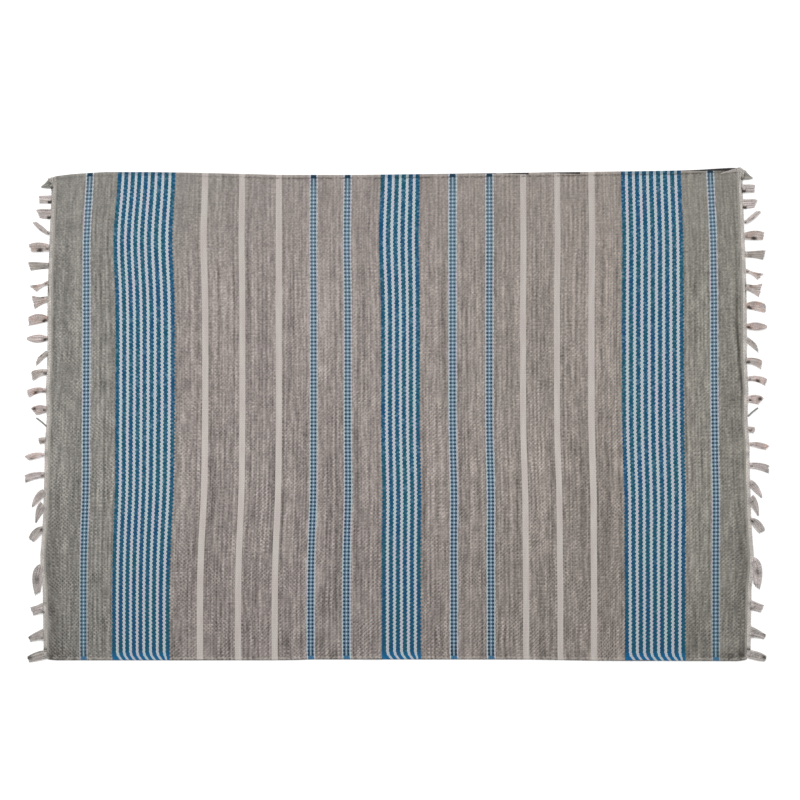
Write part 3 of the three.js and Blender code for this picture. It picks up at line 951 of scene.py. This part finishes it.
def cord_heading(name, side):
    """Three twined cords along one end of the rug, each of two strands wound round each other.

    A strand's middle is the cord's middle plus a small circle walked once every twist length; the
    cords wind in turn to the left and to the right, and the middle cord rides a little higher.
    At the far corner the cords splay and loosen, as the square of an S-curve. At the right end they
    turn that corner through a quarter circle, climb on the cloth by an S-curve and taper off.
    """
    cord_pitch, strand_radius, strand_offset, twist_length = 2.9, 0.98, 0.72, 15.0
    splay_length, turn_radius, way_back = 26.0, 6.0, 42.0
    steps = 801
    loosened = 1.6 if side < 0 else 1.0
    near_corner = side * (end_place(NEAR_SELVEDGE[0][1]) - HEADING_WIDTH)
    far_corner = side * (end_place(FAR_SELVEDGE[0][1]) - HEADING_WIDTH)
    near, far = read(NEAR_SELVEDGE, near_corner) + 13.0, read(FAR_SELVEDGE, far_corner)
    quarter = turn_radius * np.pi / 2
    if side < 0:
        straight_end, stop = far - 1.5, far - 1.5
    else:
        straight_end = far - 4.5 - turn_radius
        stop = straight_end + quarter + way_back
    walk = np.linspace(near, stop, steps)
    past = np.clip(walk - straight_end, 0, None)
    angle = np.clip(past / turn_radius, 0, np.pi / 2)
    back = np.clip(past - quarter, 0, None)
    along_end = np.minimum(walk, straight_end)
    across = along_end + turn_radius * np.sin(angle)
    inward = turn_radius * (1 - np.cos(angle)) + back
    thin = 1 - 0.6 * smooth(back / way_back)

    cord = np.array([-1, -1, 0, 0, 1, 1])[:, None]
    turn = 2 * np.pi * walk / twist_length * np.where(cord == 0, -1, 1)
    turn = turn + np.array([0, np.pi] * 3)[:, None] + cord * 0.9
    splay = smooth((walk - straight_end + splay_length) / splay_length) ** 2 * (1 - smooth(past / 14))
    splay = splay * loosened
    offset = strand_offset * (1 + splay) * thin
    aside = cord * cord_pitch * (1 + splay) * thin + offset * np.cos(turn)
    outward = end_place(along_end) - HEADING_WIDTH / 2 - inward + aside * np.cos(angle) + 2.0 * splay
    y = across + aside * np.sin(angle) - 0.22 * back
    if side < 0:
        y = y - 1.4 * (cord + 1) * splay
    wave = 0.35 * np.sin(walk / 31 + side) + 0.25 * np.sin(walk / 12.7)
    beside = 2.35 + 1.0 * (cord == 0) + wave + 1.3 * splay
    on_cloth = edge_lift(side * outward, y) + 5.6
    climb = smooth(angle / (np.pi / 2))
    z = beside + (on_cloth - beside) * climb + offset * np.sin(turn)
    paths = np.stack([side * outward, y + floor_shift(), z], -1)
    radius = strand_radius * (1 + splay) * thin * np.ones_like(cord)
    points, walls, caps, share, yarn = yarn_tubes(paths, radius, (0, 0, 1.0), twist=250.0, ply=0.08)

    soil_and_shade = np.zeros(paths.shape[:2])
    for place, reach, strength, inner_share in HEADING_SOIL:
        bell = strength * np.exp(-((walk - place) / reach) ** 2)
        soil_and_shade = soil_and_shade + bell * np.where(cord == 1, 1.0, inner_share)
    grey = read(HEADING_GREYNESS, walk, 1 if side < 0 else 2) * np.ones_like(soil_and_shade)
    sides = len(points) // soil_and_shade.size

    # Each strand fills ten rows of the square that its finish is kept on.
    folds = 10
    fold = np.minimum(np.floor(share[:, 0] * folds + 1e-6), folds - 1)
    rows = len(paths) * folds
    row = yarn * folds + fold + 0.1 + 0.8 * share[:, 1]
    kept = np.stack([share[:, 0] * folds - fold, row / rows], -1)
    yarn_map = np.stack([share[:, 0] * (stop - near), share[:, 1]], -1)
    return build_mesh(
        name, points, [walls, caps], [("yarn", yarn_map), ("OFBake", kept)],
        [("soil_and_shade", np.repeat(soil_and_shade.ravel(), sides)), ("grey", np.repeat(grey.ravel(), sides)),
         ("rust", np.zeros(len(points)))])


def cotton_material(name, colour, ply_length, right_end_gain=1.0, tinge=(1.0, 1.0, 1.0, 1.0)):
    """Undyed plied cotton, a little greyed by use.

    The eye sees smooth pale twisted yarn with painted soft shade between its plies, tips that have
    gone brown, painted shade on the near side of the knots, and rusty patches. Greyed yarn takes the
    tinge, and the right end is brighter than the left one by the right end's gain.
    """
    material, tree = new_material(name)
    yarn = add(tree, "UVMap", uv_map="yarn")
    along, around = (add(tree, "SeparateXYZ", yarn, output=axis) for axis in (0, 1))
    soil_and_shade, grey, rust = (
        add(tree, "Attribute", output=2, attribute_name=mark) for mark in ("soil_and_shade", "grey", "rust"))
    spot = add(tree, "TexCoord", output=3)
    x = add(tree, "SeparateXYZ", spot)
    wound = add(tree, "Math", along, 1 / ply_length, around, operation="MULTIPLY_ADD")
    wound = add(tree, "Math", wound, 4 * math.pi, operation="MULTIPLY")
    plies = add(tree, "Math", wound, operation="SINE")
    hairs = patchy(tree, spot, 0.9091, 0.0, 1.0, 0.0, 0.5, detail=3.0)
    height = add(tree, "Math", hairs, plies, operation="ADD")
    uneven = patchy(tree, spot, 29.41, 0.35, 0.65, detail=2.0)
    groove = add(tree, "MapRange", plies, -1.0, 0.2, 0.28, 0.0)
    tinged = add(tree, "MapRange", grey, 0.1, 0.5)
    mottle = patchy(tree, spot, 3.704, 0.35, 0.65, 0.86, 1.13, detail=2.0)
    # Brighter towards the right end, by the right end's gain.
    right_end_gained = add(tree, "MapRange", x, -0.9, 0.9, 1.0, right_end_gain)
    patches = patchy(tree, spot, 10.0, 0.38, 0.62, 0.1, 1.3)
    rust = add(tree, "Math", rust, patches, operation="MULTIPLY")
    # The soil mark browns the yarn: real soil on headings and tassels, painted shade on the near side
    # of each knot.
    base = layered(
        tree, shade_of(colour, 0.86), (uneven, shade_of(colour, 1.12)), (groove, PLY_SHADE, "MULTIPLY"),
        (soil_and_shade, linear("#201815")), (grey, linear("#6c6a64")), (tinged, tinge, "MULTIPLY"),
        (1.0, mottle, "MULTIPLY"), (1.0, right_end_gained, "MULTIPLY"), (rust, RUST_CAST, "MULTIPLY"))
    bump = add(tree, "Bump", inputs={"Strength": 0.5, "Distance": 0.3 * MM, "Height": height})
    surface = add(tree, "BsdfPrincipled", inputs={
        "Base Color": base, "Roughness": 0.88, "Specular IOR Level": 0.25, "Sheen Weight": 0.1,
        "Sheen Roughness": 0.5, "Normal": bump})
    add(tree, "OutputMaterial", surface)
    return material


# ------------------------------------------------------------------ tassels

def root_place(tassel, side):
    """Place across the rug of a tassel's root on the left (-1) or the right (1) end."""
    return tassel.left if side < 0 else tassel.right


def tassel_line(tassel, share):
    """Middle line of one tassel: a parabola from the heading out to the tip, and its direction."""
    middle = max(12.0, tassel.reach / 2, -tassel.drift / 6)
    pull = 2 * share * (1 - share)
    out = pull * middle + share ** 2 * tassel.reach
    aside = pull * tassel.bow + share ** 2 * tassel.drift
    out_rate = 2 * (1 - 2 * share) * middle + 2 * share * tassel.reach
    aside_rate = 2 * (1 - 2 * share) * tassel.bow + 2 * share * tassel.drift
    return np.stack([out, aside], -1), unit(np.stack([out_rate, aside_rate], -1))


def tassel_paths(tassel, side, strands, yarn, rng):
    """Yarns of one tassel, fanned from its root to its cut tip, and the lane of each.

    Each yarn keeps a lane across the tassel, and its place is the middle line plus the lane times
    the half width there, which is a parabola through the widths at root, middle and tip. Yarns lie
    in three layers that settle towards the floor, sway by a slow sine of their own and swell where
    the tassel is too wide for them to touch.
    """
    least_half_width, sway_size, layer_rise, floor_gap = 0.7, 0.5, 0.72, 0.15
    crest_place, crest_width, crest_rise = 0.14, 0.12, 1.2
    lane = np.linspace(-1, 1, strands) + rng.uniform(-0.06, 0.06, strands)
    layer = np.arange(strands) * 2 % 3
    rng.shuffle(layer)
    length = 1 + tassel.cut * lane + rng.uniform(-0.05, 0.02, strands)
    share = np.linspace(0, 1, YARN_STEPS)[None, :] * length[:, None]
    middle, direction = tassel_line(tassel, share)
    normal = np.stack([-direction[..., 1], direction[..., 0]], -1)
    control = (4 * tassel.middle - tassel.root - tassel.tip) / 2
    width = (1 - share) ** 2 * tassel.root + 2 * share * (1 - share) * control + share ** 2 * tassel.tip
    half = np.maximum(width / 2 - yarn / 2, least_half_width)
    sway = rng.uniform(0, 2 * np.pi, strands)[:, None]
    aside = lane[:, None] * half + sway_size * share * np.sin(5 * share + sway)
    place = middle + normal * aside[..., None]
    crest = crest_rise * np.exp(-((share - crest_place) / crest_width) ** 2)
    settle = 1 - 0.45 * smooth(share)
    z = 0.75 * yarn + floor_gap + layer[:, None] * layer_rise * yarn * settle + crest
    root = root_place(tassel, side)
    x = side * (end_place(root) - 1.5 + tassel.gap + place[..., 0])
    y = root + place[..., 1] + floor_shift()
    swollen = np.clip(1.25 * width / (strands * yarn), 1, 1.5)
    radius = yarn / 2 * swollen * (1 - 0.25 * np.clip(share - 0.9, 0, None) / 0.1)
    return np.stack([x, y, z], -1), radius, lane


def knot_path(tassel, side, wrap_radius):
    """The wrap of one knot: three turns of a flattened helix round the gathered yarns."""
    turns, knot_place, knot_length, half_height = 3, 2.0, 6.0, 2.4
    share = np.linspace(0, 1, turns * (YARN_STEPS - 1) + 1)
    turn = 2 * np.pi * turns * share
    direction = tassel_line(tassel, np.array([0.1]))[1][0]
    normal = np.array([-direction[1], direction[0]])
    out = knot_place + knot_length * share
    half_width = 0.5 * max(8.0, min(tassel.root, 12.0)) - 1.0
    shift = max(0.0, tassel.root / 2 - half_width - 2.0) * tassel.knot_stain
    aside = half_width * np.cos(turn) - shift
    root = root_place(tassel, side)
    x = side * (end_place(root) - 0.5 + min(tassel.gap, 0.0) + out * direction[0] + aside * normal[0])
    y = out * direction[1] + aside * normal[1] + root + floor_shift()
    z = wrap_radius + 0.2 + half_height * (1 + np.sin(turn))
    axis = np.array([side * direction[0], direction[1], 0.0])
    return np.stack([x, y, z], -1), axis, np.cos(turn)


def loose_yarn(tassel, side):
    """One yarn that missed its tassel: a slack curve from beside the tip back to the heading."""
    share = np.linspace(0, 1, YARN_STEPS)
    root = root_place(tassel, side)
    x = side * (end_place(root) - 0.5 + 25 * (1 - share) - 1.5 * np.sin(np.pi * share))
    y = root - 21 - 21 * share + floor_shift()
    return np.stack([x, y, 2.4 + 1.1 * np.sin(np.pi * share)], -1)


def stain_bell(tassel, lane, length, width):
    """A bell curve round the stain of a tassel, along the tassel times one across its lanes."""
    share = np.linspace(0, 1, YARN_STEPS)
    across = np.exp(-((lane - tassel.stain_lane) / width) ** 2)
    return across[:, None] * np.exp(-((share - tassel.stain_place) / length) ** 2)


def tassel_row(name, side, settings):
    """All tassels of one end as one mesh: fanned yarns, wrapped knots and one loose yarn.

    The stain of a tassel falls off as a bell curve along it and across it, and its rust as a wider
    one. The painted shade of its knot lies on the near side.
    """
    rng = np.random.default_rng(41 if side < 0 else 43)
    yarn = settings.yarn / MM
    wrap_radius = 0.6 * yarn
    paths, radii, wraps, axes = [], [], [], []
    marks = {"soil_and_shade": [], "grey": [], "rust": []}
    knot_marks = {"soil_and_shade": [], "grey": [], "rust": []}
    for tassel in TASSELS:
        path, radius, lane = tassel_paths(tassel, side, settings.strands, yarn, rng)
        paths.append(path)
        radii.append(radius)
        stain = 1.3 * tassel.stain * stain_bell(tassel, lane, 0.13, 0.5)
        yarn_grey = np.clip(tassel.grey + rng.uniform(-0.12, 0.12, len(path)), 0, 1)
        marks["soil_and_shade"].append(np.clip(stain, 0, 0.97))
        marks["grey"].append(np.tile(yarn_grey[:, None], (1, YARN_STEPS)))
        marks["rust"].append(tassel.rust * (0.7 + 1.1 * stain_bell(tassel, lane, 0.24, 1.0)))
        wrap, axis, lean = knot_path(tassel, side, wrap_radius)
        wraps.append(wrap)
        axes.append(axis)
        # Painted shade: the knot is darkened on its near side, where shade falls beside the root.
        stain = 1.2 * tassel.knot_stain * np.exp(-((lean + 0.6) / 0.7) ** 2)
        knot_marks["soil_and_shade"].append(np.clip(stain, 0, 0.97))
        knot_marks["grey"].append(np.full(len(wrap), tassel.grey))
        knot_marks["rust"].append(np.full(len(wrap), tassel.rust))
    paths.append(loose_yarn(TASSELS[LOOSE_END_TASSEL], side)[None])
    radii.append(np.full((1, YARN_STEPS), yarn * 0.85))
    for mark, value in (("soil_and_shade", 0.25), ("grey", 0.8), ("rust", 0.0)):
        marks[mark].append(np.full((1, YARN_STEPS), value))

    upright = (0, 0, 1.0)
    sides = 6
    fans = yarn_tubes(np.concatenate(paths), np.concatenate(radii), upright, twist=4.0, sides=sides)
    wraps = np.stack(wraps)
    wrap_radii = np.full(wraps.shape[:2], wrap_radius)
    knots = yarn_tubes(wraps, wrap_radii, np.stack(axes)[:, None, :], twist=5.0, sides=sides)

    # Each yarn has a cell of its own in the square that its finish is kept on.
    fan_yarns = sum(len(path) for path in paths)
    across_cells = 16
    down_cells = math.ceil((fan_yarns + len(wraps)) / across_cells)
    share_map = np.concatenate([fans[3], knots[3]])
    cell = np.concatenate([fans[4], knots[4] + fan_yarns])
    kept = np.stack([
        (cell % across_cells + 0.05 + 0.9 * share_map[:, 0]) / across_cells,
        (cell // across_cells + 0.1 + 0.8 * share_map[:, 1]) / down_cells], -1)
    lengths = np.where(cell < fan_yarns, 45.0, 90.0)
    yarn_map = np.stack([share_map[:, 0] * lengths, share_map[:, 1]], -1)
    shift = len(fans[0])
    faces = [fans[1], fans[2], knots[1] + shift, knots[2] + shift]
    values = []
    for mark in marks:
        along_yarns = np.concatenate([np.concatenate(marks[mark]).ravel(), *knot_marks[mark]])
        values.append((mark, np.repeat(along_yarns, sides)))
    points = np.concatenate([fans[0], knots[0]])
    return build_mesh(name, points, faces, [("yarn", yarn_map), ("OFBake", kept)], values)


# ------------------------------------------------------------------ operators

def end_name(side):
    """Name of the left (-1) or the right (1) end."""
    return "left" if side < 0 else "right"


class KILIM_OT_cloth(bpy.types.Operator):
    """Weaves the cloth: one closed ribbed sheet in striped wool"""

    bl_idname = "kilim.cloth"
    bl_label = "Weave Cloth"

    def execute(self, context):
        settings = context.scene.kilim_cloth
        cloth = cloth_surface(settings)
        cloth.data.materials.append(wool_material(settings))
        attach(cloth, "root")
        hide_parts("field")
        return {"FINISHED"}


class KILIM_OT_headings(bpy.types.Operator):
    """Twines the heading along each end"""

    bl_idname = "kilim.headings"
    bl_label = "Twine Headings"

    def execute(self, context):
        settings = context.scene.kilim_ends
        cotton = cotton_material("twined_cotton_heading", settings.heading, HEADING_PLY)
        for side in (-1, 1):
            heading = cord_heading("twined_heading_" + end_name(side), side)
            heading.data.materials.append(cotton)
            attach(heading, "root")
            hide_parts("heading_" + end_name(side))
        return {"FINISHED"}


class KILIM_OT_tassels(bpy.types.Operator):
    """Knots the warp ends into tassels along each end"""

    bl_idname = "kilim.tassels"
    bl_label = "Knot Tassels"

    def execute(self, context):
        settings = context.scene.kilim_ends
        cotton = cotton_material(
            "undyed_cotton_warp", settings.tassel, TASSEL_PLY, right_end_gain=1.1, tinge=GREEN_TINGE)
        for side in (-1, 1):
            tassels = tassel_row("tassels_" + end_name(side), side, settings)
            tassels.data.materials.append(cotton)
            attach(tassels, "root")
            nodes = [f"tassel_{end_name(side)}_{number:02d}" for number in range(1, len(TASSELS) + 1)]
            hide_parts(*nodes)
        return {"FINISHED"}


class KILIM_OT_declare(bpy.types.Operator):
    bl_idname = "kilim.declare"
    bl_label = "Lay Rug"

    def execute(self, context):
        return {"FINISHED"}


class KILIM_OT_stage(bpy.types.Operator):
    """Sets the pale floor, the soft light and the camera straight above the rug"""

    bl_idname = "kilim.stage"
    bl_label = "Set Stage"

    def execute(self, context):
        scene = context.scene
        settings = scene.kilim_stage
        floor = make_floor(settings)
        make_light(scene)
        make_camera(scene, settings)
        scene.view_settings.view_transform = "Standard"
        return {"FINISHED"}


# Strength of the light from all round, then the lamp and the camera, in metres, watts and degrees.
SKY_LIGHT = 0.62
LAMP_SIZE, LAMP_POWER = 3.75, 352.0
LAMP_PLACE, LAMP_TURN = (-1.6, 3.3, 6.3), (-27.6, -14.3, 0.0)
CAMERA_PLACE = (0.0074, 0.0357)


def seen_share(tree):
    """One for a ray that shows the background to the camera, straight or in a mirror or a glass."""
    seen = add(tree, "LightPath", output="Is Camera Ray")
    for ray in ("Is Glossy Ray", "Is Transmission Ray"):
        seen = add(tree, "Math", seen, add(tree, "LightPath", output=ray), operation="MAXIMUM")
    return seen


def make_floor(settings):
    """A wide flat floor just under the rug.

    Matt white paint: the eye sees an even white with no gloss, except where shade falls on it.
    """
    half, depth = 6000.0, -0.3
    corners = ((-half, -half), (half, -half), (half, half), (-half, half))
    points = np.array([(x, y, depth) for x, y in corners])
    floor = build_mesh("floor", points, [np.array([[0, 1, 2, 3]])])
    material, tree = new_material("painted_floor")
    paint = add(tree, "BsdfDiffuse", inputs={"Color": (*settings.floor, 1.0)})
    strength = add(tree, "Math", seen_share(tree), 0.2, operation="MULTIPLY")
    glow = add(tree, "Emission", inputs={"Strength": strength})
    add(tree, "OutputMaterial", add(tree, "AddShader", paint, glow))
    floor.data.materials.append(material)
    return floor


def make_light(scene):
    """Even light from all round, and one broad lamp from the far left that gives soft shade."""
    world = bpy.data.worlds.new("studio")
    world.use_nodes = True
    world.node_tree.nodes.clear()
    tree = world.node_tree
    strength = add(
        tree, "Math", seen_share(tree), 1.0 - SKY_LIGHT, SKY_LIGHT, operation="MULTIPLY_ADD")
    background = add(tree, "Background", inputs={"Color": (1, 1, 1, 1), "Strength": strength})
    add(tree, "OutputWorld", background)
    scene.world = world
    lamp = bpy.data.lights.new("softbox", "AREA")
    lamp.shape = "SQUARE"
    lamp.size = LAMP_SIZE
    lamp.energy = LAMP_POWER
    softbox = bpy.data.objects.new("softbox", lamp)
    softbox.location = LAMP_PLACE
    softbox.rotation_euler = [math.radians(angle) for angle in LAMP_TURN]
    scene.collection.objects.link(softbox)


def make_camera(scene, settings):
    """A long lens straight above the rug."""
    camera = bpy.data.cameras.new("camera")
    camera.lens = settings.lens
    camera.sensor_width = 36.0
    camera.clip_end = 100.0
    height = settings.view_width * settings.lens / camera.sensor_width
    above = bpy.data.objects.new("camera", camera)
    above.location = (*CAMERA_PLACE, height)
    scene.collection.objects.link(above)
    scene.camera = above


class KILIM_PT_panel(bpy.types.Panel):
    """Lists the steps and their settings"""

    bl_idname = "KILIM_PT_panel"
    bl_label = "Kilim Rug"
    bl_space_type = "VIEW_3D"
    bl_region_type = "UI"
    bl_category = "Kilim"

    def draw(self, context):
        layout = self.layout
        scene = context.scene
        for group, operators in (
            (scene.kilim_cloth, ("kilim.cloth",)),
            (scene.kilim_ends, ("kilim.headings", "kilim.tassels", "kilim.declare")),
            (scene.kilim_stage, ("kilim.stage",)),
        ):
            box = layout.box()
            for name in type(group).__annotations__:
                box.prop(group, name)
            for operator in operators:
                box.operator(operator)


CLASSES = (
    KilimCloth, KilimEnds, KilimStage,
    KILIM_OT_cloth, KILIM_OT_headings, KILIM_OT_tassels, KILIM_OT_declare, KILIM_OT_stage,
    KILIM_PT_panel,
)


def register():
    """Registers the classes and gives each scene the rug's settings."""
    for cls in CLASSES:
        bpy.utils.register_class(cls)
    bpy.types.Scene.kilim_cloth = bpy.props.PointerProperty(type=KilimCloth)
    bpy.types.Scene.kilim_ends = bpy.props.PointerProperty(type=KilimEnds)
    bpy.types.Scene.kilim_stage = bpy.props.PointerProperty(type=KilimStage)


def unregister():
    """Takes the settings and the classes away again."""
    del bpy.types.Scene.kilim_cloth
    del bpy.types.Scene.kilim_ends
    del bpy.types.Scene.kilim_stage
    for cls in reversed(CLASSES):
        bpy.utils.unregister_class(cls)


def main():
    """Registers the classes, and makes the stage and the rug."""
    register()
    bpy.ops.kilim.stage()
    bpy.ops.kilim.cloth()
    bpy.ops.kilim.headings()
    bpy.ops.kilim.tassels()
    bpy.ops.kilim.declare()


if __name__ == "__main__":
    main()
